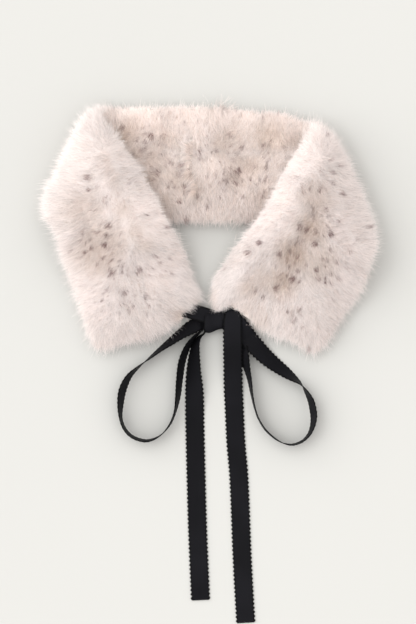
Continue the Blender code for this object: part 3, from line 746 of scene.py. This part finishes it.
def ribbon_path(rows):
    """Sections along a ribbon, each with its middle and its way across, and its length."""
    fine = smooth_rows(rows, RIBBON_STEPS)
    travelled = [0.0]
    for a, b in zip(fine, fine[1:]):
        travelled.append(travelled[-1] + (b.xy - a.xy).length)
    length = travelled[-1]
    count = PICOT_STEPS * max(1, round(length / PICOT_PITCH))
    path, k = [], 0
    for step in range(count + 1):
        here = length * step / count
        while k < len(travelled) - 2 and travelled[k + 1] < here:
            k += 1
        share = (here - travelled[k]) / (travelled[k + 1] - travelled[k])
        path.append(dict(zip(RIBBON_COLUMNS, fine[k].lerp(fine[k + 1], share))))
    for i, place in enumerate(path):
        before, after = path[max(0, i - 1)], path[min(count, i + 1)]
        run = Vector((after["x"] - before["x"], after["y"] - before["y"], 0)).normalized()
        tilt = math.radians(place["tilt"])
        upright = Vector((0, 0, math.sin(tilt)))
        place["over"] = Vector((-run.y, run.x, 0)) * math.cos(tilt) + upright
        half = RIBBON_WIDTH / 2 * place["gather"]
        height = max(0.0, place["lift"]) + half * abs(math.sin(tilt))
        height += RIBBON_WALL / 2 * abs(math.cos(tilt))
        place["middle"] = Vector((place["x"], place["y"], height)) + CENTRING
    return path, length


def picot(step):
    """How far the ribbon's edge falls back from the top of a picot."""
    phase = (step % PICOT_STEPS) / PICOT_STEPS
    return PICOT_DEPTH * (0.5 + 0.5 * math.cos(2 * math.pi * phase))


def bent_grid(columns, rows, cut_at, place_at):
    """A grid of ribbon bent to its place, with its cut's own UV in metres."""
    body = bmesh.new()
    bmesh.ops.create_grid(body, x_segments=columns, y_segments=rows, size=1.0)
    cut = body.loops.layers.uv.new("cut")
    index = {
        v: (round((v.co.x + 1) / 2 * columns), round((v.co.y + 1) / 2 * rows))
        for v in body.verts
    }
    for face in body.faces:
        for loop in face.loops:
            loop[cut].uv = cut_at(*index[loop.vert])
    for vertex, (i, j) in index.items():
        vertex.co = place_at(i, j) * MM
    return body


def satin_cloth(name, body, node, material, even):
    """A bent grid with the thickness of the satin."""
    body.normal_update()
    shell = finish_mesh(name, body, material)
    cloth = shell.modifiers.new("cloth", "SOLIDIFY")
    cloth.thickness = RIBBON_CLOTH * MM
    cloth.offset = 0.0
    cloth.use_even_offset = even
    take_place(shell, node)
    return shell


def satin_strip(name, columns, length, place_at, node, material):
    """A strip of ribbon of its real length."""
    size = (RIBBON_WIDTH * MM, length * MM)

    def cut_at(i, j):
        return i / columns * size[1], ACROSS[j] / 2 * size[0]

    body = bent_grid(columns, len(ACROSS) - 1, cut_at, place_at)
    shell = satin_cloth(name, body, node, material, even=True)


def ribbon(name, rows, node, material):
    """A stretch of ribbon with round picots along both edges."""
    path, length = ribbon_path(rows)

    def place_at(i, j):
        here = path[i]
        side = ACROSS[j]
        half = RIBBON_WIDTH / 2 - (picot(i) if abs(side) == 1 else 0)
        return here["middle"] + here["over"] * (half * side * here["gather"])

    satin_strip(name, len(path) - 1, length, place_at, node, material)


def stub(name, rows, node, material):
    """The flat stretch from a sewn end to the knot, puckered where it is drawn in."""
    near, far = ([Vector(r[:3]), Vector(r[3:])] for r in rows)
    length = ((near[1] + far[1]) / 2 - (near[0] + far[0]) / 2).length

    def place_at(i, j):
        t = i / STUB_STEPS
        a, b = near[0].lerp(near[1], t), far[0].lerp(far[1], t)
        across = (ACROSS[j] + 1) / 2
        pucker = STUB_PUCKER * t * math.cos(across * 2 * STUB_PLEATS * math.pi)
        return a.lerp(b, across) + Vector((0, 0, pucker))

    satin_strip(name, STUB_STEPS, length, place_at, node, material)


def knot_place(along, across):
    """A place on the wrap: along goes round it and across goes from left to right."""
    rows = smooth_rows(KNOT, KNOT_STEPS)
    last = len(rows) - 1
    here = min(last - JUST_SHORT, across * last)
    k = int(here)
    r = dict(zip(KNOT_COLUMNS, rows[k].lerp(rows[k + 1], here - k)))
    angle = 2 * math.pi * along
    c, s = math.cos(angle), math.sin(angle)
    size = (abs(c) ** KNOT_SQUARENESS + abs(s) ** KNOT_SQUARENESS) ** (-1 / KNOT_SQUARENESS)
    fold = KNOT_FOLD * math.cos(2 * math.pi * KNOT_FOLDS * across + KNOT_FOLD_LEAN * c)
    deep = r["half_depth"] + (fold - WRAP_IN)
    high = r["half_height"] + (fold - WRAP_IN)
    return Vector((r["x"], r["y"] + deep * c * size, KNOT_MIDDLE_Z + high * s * size))


def knot_wrap(name, node, material):
    """The ribbon wound once round the middle of the bow."""
    size = (RIBBON_WIDTH * MM, KNOT_AROUND * MM)

    def cut_at(i, j):
        return i / KNOT_ROUND * size[1], (j / KNOT_ACROSS - 0.5) * size[0]

    def place_at(i, j):
        return knot_place(i / KNOT_ROUND, j / KNOT_ACROSS)

    body = bent_grid(KNOT_ROUND, KNOT_ACROSS, cut_at, place_at)
    weld(body)
    wrap = satin_cloth(name, body, node, material, even=False)


def knot_core(name, node, material):
    """The crossing strands inside the wrap, as one tight body."""
    body = bmesh.new()
    body.from_mesh(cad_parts[node].data)
    weld(body)
    body.normal_update()
    body.loops.layers.uv.new("cut")
    inward = {v: v.normal.copy() for v in body.verts}
    for vertex, normal in inward.items():
        vertex.co -= normal * CORE_IN * MM
    take_place(finish_mesh(name, body, material), node)


# --- fur ------------------------------------------------------------------------------
def off_line(place, x0, y0, x1, y1):
    """How far along a line a place is, and the way to the place from there."""
    start, run = Vector((x0, y0)), Vector((x1 - x0, y1 - y0))
    along = held((place.xy - start).dot(run) / run.length_squared)
    return along, place.xy - start - run * along


def swell(off):
    """From 1 in the middle down to 0 at the rim, with no crease."""
    return 0.5 + 0.5 * math.cos(math.pi * off) if off < 1 else 0.0


def edge_ease(place, normal):
    """How far a place on the left front gives way as its inner edge lies back."""
    far, push, inside = EDGE_EASE, 0.0, False
    for (x0, y0, p0), (x1, y1, p1) in zip(INNER_EDGE, INNER_EDGE[1:]):
        along, gap = off_line(place, x0, y0, x1, y1)
        if gap.length < far:
            far, push = gap.length, p0 + (p1 - p0) * along
            inside = gap.dot(EDGE_BACK.xy) > 0
    if far == EDGE_EASE or place.x > 0:
        return 0.0
    if place.y > BACK_HEM and place.z < TOP_LAYER:
        if place.z < BACK_TOP:
            return 0.0
        push *= held((EDGE_WALL - normal.z) / EDGE_WALL_BLEND)
    share = far / EDGE_EASE if inside else 0.0
    return push * (1 - share) ** 2 * (1 + 2 * share)


def relief(place):
    """How much higher the fur of a front stands at a place."""
    height = 0.0
    for x0, y0, x1, y1, half_width, rise in RELIEF:
        _, gap = off_line(place, x0, y0, x1, y1)
        height += rise * swell(gap.length / half_width)
    return height


def laid_in(place):
    """How far the fur lies in from its outer edge at a place."""
    way = Vector((0.0, 0.0, 0.0))
    for x, y, radius, in_x, in_y in LAID_IN:
        off = (place.xy - Vector((x, y))).length / radius
        way += Vector((in_x, in_y, 0.0)) * swell(off)
    return way


def merged(node):
    """A copy of a fur panel as one skin, with the finer lie of its fur."""
    body = bmesh.new()
    body.from_mesh(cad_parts[node].data)
    weld(body)
    bmesh.ops.subdivide_edges(body, edges=body.edges, cuts=1, use_grid_fill=True)
    body.normal_update()
    moves = []
    for vertex in body.verts:
        place, normal = vertex.co / MM, vertex.normal
        near_end = held((END_FROM - place.y) / (END_FROM - END_TO))
        move = EDGE_BACK.lerp(END_BACK, near_end) * edge_ease(place, normal)
        in_front = place.z > BACK_TOP or place.y < BACK_HEM
        if node == "outer_fur_panel" and in_front:
            move.z = relief(place) * held((place.z - SEAM_HEIGHT) / RELIEF_DEPTH)
        moves.append((move + laid_in(place)) * MM)
    for vertex, move in zip(body.verts, moves):
        vertex.co += move
    bmesh.ops.triangulate(body, faces=body.faces)
    body.normal_update()
    return body


def both_panels():
    """A search tree of both fur panels, to find where fur lies against fur."""
    points, faces = [], []
    for node in ("outer_fur_panel", "neck_fur_panel"):
        body = merged(node)
        start = len(points)
        points += [v.co.copy() for v in body.verts]
        faces += [[start + v.index for v in f.verts] for f in body.faces]
        body.free()
    return BVHTree.FromPolygons(points, faces)


def open_to_air(tree, point, normal, room):
    return tree.ray_cast(point + normal * AIR_CLEAR * MM, normal, room * MM)[0] is None


def underfur(name, node, tree, material):
    """The panel's own form, drawn in under its hairs."""
    body = merged(node)
    own = BVHTree.FromBMesh(body)
    moves, covered = [], []
    for vertex in body.verts:
        normal = vertex.normal.copy()
        if not open_to_air(tree, vertex.co, normal, COVERED):
            covered.append(vertex)
            continue
        under = own.ray_cast(vertex.co - normal * SKIN_CLEAR * MM, -normal)[3] or 0.0
        moves.append((vertex, normal * min(SKIN_DEPTH * MM, SKIN_SHARE * under)))
    shore = KDTree(len(moves))
    for i, (vertex, _) in enumerate(moves):
        shore.insert(vertex.co, i)
    shore.balance()
    for vertex in covered:
        _, i, away = shore.find(vertex.co)
        if away < SEAM_FADE * MM:
            moves.append((vertex, moves[i][1] * (1 - away / (SEAM_FADE * MM))))
    for vertex, inward in moves:
        vertex.co -= inward
    body.normal_update()
    skin = finish_mesh(name, body, material)
    take_place(skin, node)
    return skin


def scatter(node, tree, count, wanted, rng):
    """Places and smooth normals all over the part of a panel that is wanted and open."""
    body = merged(node)
    points = np.array([v.co for v in body.verts])
    normals = np.array([v.normal for v in body.verts])
    faces = np.array([[v.index for v in f.verts] for f in body.faces])
    body.free()
    corners = points[faces]
    middles = corners.mean(1)
    facing = normals[faces].mean(1)
    areas = np.linalg.norm(
        np.cross(corners[:, 1] - corners[:, 0], corners[:, 2] - corners[:, 0]), axis=1
    )
    areas *= wanted(middles, facing)
    chance = areas / areas.sum()
    places, ways = [], []
    left = count
    while left > 0:
        tries = int(left * TRIES_PER_HAIR) + MORE_TRIES
        picked = rng.choice(len(faces), size=tries, p=chance)
        share = rng.random((len(picked), 2))
        share = np.where(share.sum(1, keepdims=True) > 1, 1 - share, share)
        weights = np.column_stack([1 - share.sum(1), share])[..., None]
        spots = (corners[picked] * weights).sum(1)
        normal = (normals[faces[picked]] * weights).sum(1)
        normal /= np.linalg.norm(normal, axis=1, keepdims=True)
        for spot, way in zip(spots, normal):
            if left > 0 and open_to_air(tree, Vector(spot), Vector(way), HAIR_ROOM):
                places.append(spot)
                ways.append(way)
                left -= 1
    return np.array(places), np.array(ways)


def unit(vectors):
    return vectors / np.maximum(np.linalg.norm(vectors, axis=1, keepdims=True), 1e-9)


def turned(vectors, axes, angles):
    """Each vector turned round its own axis."""
    c, s = np.cos(angles)[:, None], np.sin(angles)[:, None]
    along = (vectors * axes).sum(1, keepdims=True)
    return vectors * c + np.cross(axes, vectors) * s + axes * along * (1 - c)


def combed(points, normals, arrows):
    """The way that the fur lies at each place, along its surface and seen from above."""
    table = np.array(arrows, float)
    gap = points[:, None, :2] / MM - table[None, :, :2]
    weight = 1 / (np.square(gap).sum(2) + COMB_BLEND**2) ** 2
    way = unit((weight[..., None] * table[None, :, 2:4]).sum(1))
    level = np.column_stack([way, np.full(len(way), -COMB_DROOP)])
    way = level - normals * (level * normals).sum(1, keepdims=True)
    return unit(way), level


def nearest(points, centres):
    tree = KDTree(len(centres))
    for i, centre in enumerate(centres):
        tree.insert(centre, i)
    tree.balance()
    return np.array([tree.find(p)[1] for p in points])


def patches(points, ways, table, blur, stretch=1.0):
    """How strongly a list of round patches marks each place."""
    total = np.zeros(len(points))
    flat = unit(ways[:, :2])
    for x, y, radius, strength in table:
        gap = points[:, :2] / MM - (x, y)
        along = (gap * flat).sum(1) / stretch
        beside = gap[:, 0] * flat[:, 1] - gap[:, 1] * flat[:, 0]
        far = np.hypot(along, beside)
        share = np.clip((radius + blur - far) / (2 * blur), 0, 1)
        total = np.maximum(total, strength * share)
    return total


def all_flecks(named, peppered, field):
    """The dark tufts of a table, small ones in the peppered places and faint strays."""
    rng = np.random.default_rng(FLECK_SEED)
    rows = [(x, y, radius * FLECK_GROWTH, dark) for x, y, radius, dark in named]
    for x, y, radius, count in peppered:
        away = radius * np.sqrt(rng.random(count))
        for off, turn in zip(away, rng.uniform(0, PEPPER_TURN, count)):
            place = (x + off * math.cos(turn), y + off * math.sin(turn))
            rows.append((*place, rng.uniform(*PEPPER_RADIUS), rng.uniform(*PEPPER_DARK)))
    corner, size = field
    for place in corner + rng.random((STRAY_FLECKS, 2)) * size:
        rows.append((*place, rng.uniform(*STRAY_RADIUS), rng.uniform(*STRAY_DARK)))
    return rows


def ruffled(points):
    """A slow change of direction over the fur, from -1 to 1."""
    scale = 1 / (RUFFLE * MM)
    return np.array([noise.noise(Vector(p) * scale) for p in points])


def hair_mesh(name, lines, rolled, width):
    """Flat tapered hairs along their lines, each with its own roll."""
    verts = []
    for k, taper in enumerate(HAIR_TAPER):
        heading = unit(lines[k + 1] - lines[k])
        across = unit(np.cross(heading, rolled)) * width * taper
        verts += [lines[k] - across, lines[k] + across]
    verts.append(lines[-1])
    verts = np.stack(verts, axis=1).reshape(-1, 3)
    verts[:, 2] = np.maximum(verts[:, 2], OVER_FLOOR * MM)

    quads = [(2 * k, 2 * k + 1, 2 * k + 3, 2 * k + 2) for k in range(len(HAIR_TAPER) - 1)]
    tip = [HAIR_POINTS - 3, HAIR_POINTS - 2, HAIR_POINTS - 1]
    pattern = np.array([i for q in quads for i in q] + tip)
    starts = np.cumsum([0] + [4] * len(quads))
    each = np.arange(len(rolled))[:, None]
    loops = (each * HAIR_POINTS + pattern).ravel()
    first = (each * len(pattern) + starts).ravel()

    mesh = bpy.data.meshes.new(name)
    mesh.vertices.add(len(verts))
    mesh.vertices.foreach_set("co", verts.ravel())
    mesh.loops.add(len(loops))
    mesh.loops.foreach_set("vertex_index", loops)
    mesh.polygons.add(len(first))
    mesh.polygons.foreach_set("loop_start", first)
    mesh.update(calc_edges=True)
    mesh.validate()
    mesh.shade_smooth()
    return mesh


def hairs(name, node, tree, count, kind, wanted, look, seed, material):
    """Tapered hairs on part of a fur panel, as one mesh."""
    kind = dict(zip(HAIR_COLUMNS, kind))
    rng = np.random.default_rng(seed)
    points, normals = scatter(node, tree, count, wanted, rng)
    kept = rng.random(count) > patches(points, normals, THIN, THIN_BLUR)
    points, normals = points[kept], normals[kept]
    count = len(points)
    ways, level = combed(points, normals, look["comb"])

    centres = rng.choice(count, count // HAIRS_PER_TUFT, replace=False)
    tuft = nearest(points, points[centres])
    tuft_turn = rng.normal(0, TUFT_TURN, len(centres))
    tuft_lift = rng.normal(kind["lift"], TUFT_LIFT, len(centres))
    tuft_tone = rng.normal(0, TUFT_TONE, len(centres))

    turn = tuft_turn[tuft] + look["ruffle"] * ruffled(points)
    ways = turned(ways, normals, turn + rng.normal(0, OWN_TURN, count))
    middles = points - ways * FLECK_BACK * MM
    dark = patches(middles, ways, look["flecks"], FLECK_BLUR, FLECK_STRETCH)
    dark *= (rng.random(count) < look["spotted"]) * rng.uniform(*FLECK_DEPTH, count)
    dark = np.clip(dark * kind["dark"], 0, 1)
    # Warm undertone, and painted shade where its table puts it.
    warm_and_shade = patches(points, ways, look["warmth_and_shade"], PATCH_BLUR)
    warm_and_shade = np.clip(warm_and_shade * rng.uniform(*WARMTH_AND_SHADE_DEPTH, count), 0, 1)
    # Paler along the lit rolls: painted light.
    pale = patches(points, ways, look["pale"], PATCH_BLUR)

    side = np.linalg.norm(normals[:, :2], axis=1)[:, None] ** 2
    reach = rng.uniform(*kind["reach"], count) * (1 - DARK_SHORTER * dark)
    reach = reach[:, None] * MM
    over = tuft_lift[tuft] + rng.normal(0, OWN_LIFT, count) + dark * DARK_LIFT
    over = over[:, None] * MM
    stray = np.minimum(rng.exponential(kind["fringe"], (count, 1)), LONGEST_STRAY)
    fringe = side * stray * MM
    extra = patches(points, ways, FRINGE, FRINGE_BLUR)[:, None]
    extra = extra * rng.uniform(LEAST_FRINGE, 1, (count, 1)) * MM * kind["extra"]
    tips = points + normals * (over + fringe) + ways * fringe * FRINGE_LEAN + level * extra
    peaks = tips[centres][tuft]
    gather = rng.uniform(0, kind["gather"], (count, 1)) * (1 - side)
    tips = tips + (peaks - tips) * gather
    roots = points - normals * HAIR_DEPTH * MM - ways * reach * (1 - SIDE_SHORTER * side)
    bend = roots + normals * HAIR_DEPTH * BEND_UP * MM + ways * reach * BEND_ALONG
    lines = [
        roots * (1 - s) ** 2 + bend * 2 * s * (1 - s) + tips * s * s for s in HAIR_STATIONS
    ]

    width = rng.uniform(*kind["width"], count)[:, None]
    width = width * (1 + DARK_WIDER * dark[:, None]) * MM / 2
    upward = np.array([0.0, 0.0, 1.0])
    rolled = turned(normals, ways, rng.normal(0, OWN_ROLL, count))
    rolled = unit(rolled * (1 - side) + upward * side)
    mesh = hair_mesh(name, lines, rolled, width)

    # The lit rolls get their painted light here.
    tone = look["tone"] + kind["pale"] + pale * LIT_ROLL_TONE
    tone += (tuft_tone[tuft] + rng.normal(0, OWN_TONE, count)) * (1 - PALE_EVEN * pale)
    marks = {
        "along": np.tile(np.repeat(HAIR_STATIONS, (2, 2, 2, 1)), count),
        "tone": np.repeat(np.clip(tone, 0, 1), HAIR_POINTS),
        "fleck": np.repeat(dark, HAIR_POINTS),
        "warm_and_shade": np.repeat(warm_and_shade, HAIR_POINTS),
    }
    for mark, values in marks.items():
        layer = mesh.attributes.new(mark, "FLOAT", "POINT")
        layer.data.foreach_set("value", values.astype(np.float32))

    soft = unit(normals + SOFT_ROLL * (rolled - normals))
    soft = np.repeat(unit(soft + upward * SOFT_UP * side), HAIR_POINTS, axis=0)
    mesh.normals_split_custom_set_from_vertices(soft.tolist())
    mesh.materials.append(material)
    coat = new_object(name, mesh)
    take_place(coat, node)
    return coat


def on_top(points, facing):
    in_seam = (points[:, 2] < SEAM_TOP * MM) & (facing[:, 2] > SEAM_FACING)
    return (facing[:, 2] > UNDERSIDE) & ~in_seam


def off_back_edge(points, facing):
    half, start = BACK_EDGE
    back_edge = (abs(points[:, 0]) < half * MM) & (points[:, 1] > start * MM)
    return on_top(points, facing) & ~back_edge


def left_front(points, facing):
    return on_top(points, facing) & (points[:, 0] < 0)


def right_front(points, facing):
    return on_top(points, facing) & (points[:, 0] >= 0)


def sewn_ends(points, facing):
    half, end = SEWN_ENDS
    near = (abs(points[:, 0]) < half * MM) & (points[:, 1] < end * MM)
    return near & (facing[:, 2] > END_FACING)


def rim(points, facing):
    half, start = RIM_OFF_BACK
    on_back = (abs(points[:, 0]) < half * MM) & (points[:, 1] > start * MM)
    return (abs(facing[:, 2]) < RIM_FACING) & ~on_back


def underside(points, facing):
    return facing[:, 2] <= UNDERSIDE


def dress_fur():
    tree = both_panels()
    outer_under = underfur_material("outer_underfur", *OUTER_UNDERFUR)
    neck_under = underfur_material("neck_underfur", *NECK_UNDERFUR)
    outer_hair = hair_material("outer_fur_hair", *OUTER_HAIR)
    neck_hair = hair_material("neck_fur_hair", *NECK_HAIR)
    outer_skin = underfur("outer_fur_underfur", "outer_fur_panel", tree, outer_under)
    neck_skin = underfur("neck_fur_underfur", "neck_fur_panel", tree, neck_under)

    front = {
        "comb": FRONT_COMB,
        "flecks": all_flecks(FRONT_FLECKS, FRONT_PEPPER, FRONT_FIELD),
        "warmth_and_shade": FRONT_WARMTH_AND_SHADE,
        "pale": FRONT_LIT_ROLLS,
        "ruffle": 0.7,
        "tone": 0.55,
        "spotted": FRONT_SPOTTED,
    }
    back = {
        "comb": BACK_COMB,
        "flecks": all_flecks(BACK_FLECKS, BACK_PEPPER, BACK_FIELD),
        "warmth_and_shade": BACK_WARMTH_AND_SHADE,
        "pale": BACK_LIT_ROLLS,
        "ruffle": 1.1,
        "tone": 0.59,
        "spotted": BACK_SPOTTED,
    }
    plain = {"flecks": [], "warmth_and_shade": [], "pale": []}
    outer = [
        hairs(name, "outer_fur_panel", tree, count, kind, where, look, seed, outer_hair)
        for name, count, kind, where, look, seed in (
            ("outer_fur_left_front", 39500, WOOL, left_front, front, 1),
            ("outer_fur_right_front", 39500, WOOL, right_front, front, 2),
            ("outer_fur_guard_hairs", 25000, GUARD, off_back_edge, front, 3),
            ("outer_fur_end_tufts", 9000, END_TUFTS, sewn_ends, front, 8),
            ("outer_fur_rim", 7000, RIM, rim, front, 9),
            ("outer_fur_underside", 5500, WOOL, underside, {**back, **plain}, 4),
        )
    ]
    neck = [
        hairs(name, "neck_fur_panel", tree, count, kind, where, look, seed, neck_hair)
        for name, count, kind, where, look, seed in (
            ("neck_fur_back", 39500, WOOL, on_top, back, 5),
            ("neck_fur_guard_hairs", 12000, GUARD, on_top, back, 6),
            ("neck_fur_underside", 5500, WOOL, underside, {**front, **plain}, 7),
        )
    ]


def dress_ribbons():
    satin = satin_material("black_satin")
    ribbon("bow_left_loop", LEFT_LOOP, "bow_loop_left", satin)
    ribbon("bow_right_loop", RIGHT_LOOP, "bow_loop_right", satin)
    ribbon("left_tail", LEFT_TAIL, "ribbon_tail_left", satin)
    ribbon("right_tail", RIGHT_TAIL, "ribbon_tail_right", satin)
    stub("left_stub", LEFT_STUB, "ribbon_stub_left", satin)
    stub("right_stub", RIGHT_STUB, "ribbon_stub_right", satin)
    knot_wrap("knot_wrap", "bow_knot", satin)
    knot_core("knot_core", "bow_knot", satin)


# --- stage ----------------------------------------------------------------------------
def table_top():
    body = bmesh.new()
    bmesh.ops.create_grid(body, x_segments=1, y_segments=1, size=FLOOR_SIZE * MM / 2)
    for vertex in body.verts:
        vertex.co.z = -FLOOR_DROP * MM
    finish_mesh("table_top", body, table_top_material())


def studio_light():
    world = bpy.data.worlds.new("studio")
    bpy.context.scene.world = world
    world.use_nodes = True
    sky = world.node_tree.nodes["Background"]
    sky.inputs["Color"].default_value = SKY_COLOUR
    sky.inputs["Strength"].default_value = SKY_STRENGTH
    for name, towards, energy, angle in LAMPS:
        lamp = bpy.data.lights.new(name, "SUN")
        lamp.energy = energy
        lamp.angle = math.radians(angle)
        lamp.color = LAMP_COLOUR
        panel = bpy.data.objects.new(name, lamp)
        bpy.context.scene.collection.objects.link(panel)
        panel.rotation_euler = Vector(towards).to_track_quat("Z", "Y").to_euler()


def camera():
    lens = bpy.data.cameras.new("camera")
    lens.sensor_width = SENSOR_WIDTH
    lens.lens = lens.sensor_width * CAMERA_HEIGHT / VIEW_HEIGHT
    lens.clip_end = CAMERA_CLIP
    eye = bpy.data.objects.new("camera", lens)
    bpy.context.scene.collection.objects.link(eye)
    eye.location = Vector((*VIEW_MIDDLE, CAMERA_HEIGHT)) * MM
    bpy.context.scene.camera = eye
    bpy.context.scene.view_settings.view_transform = "Standard"


camera()
table_top()
studio_light()
dress_ribbons()
dress_fur()
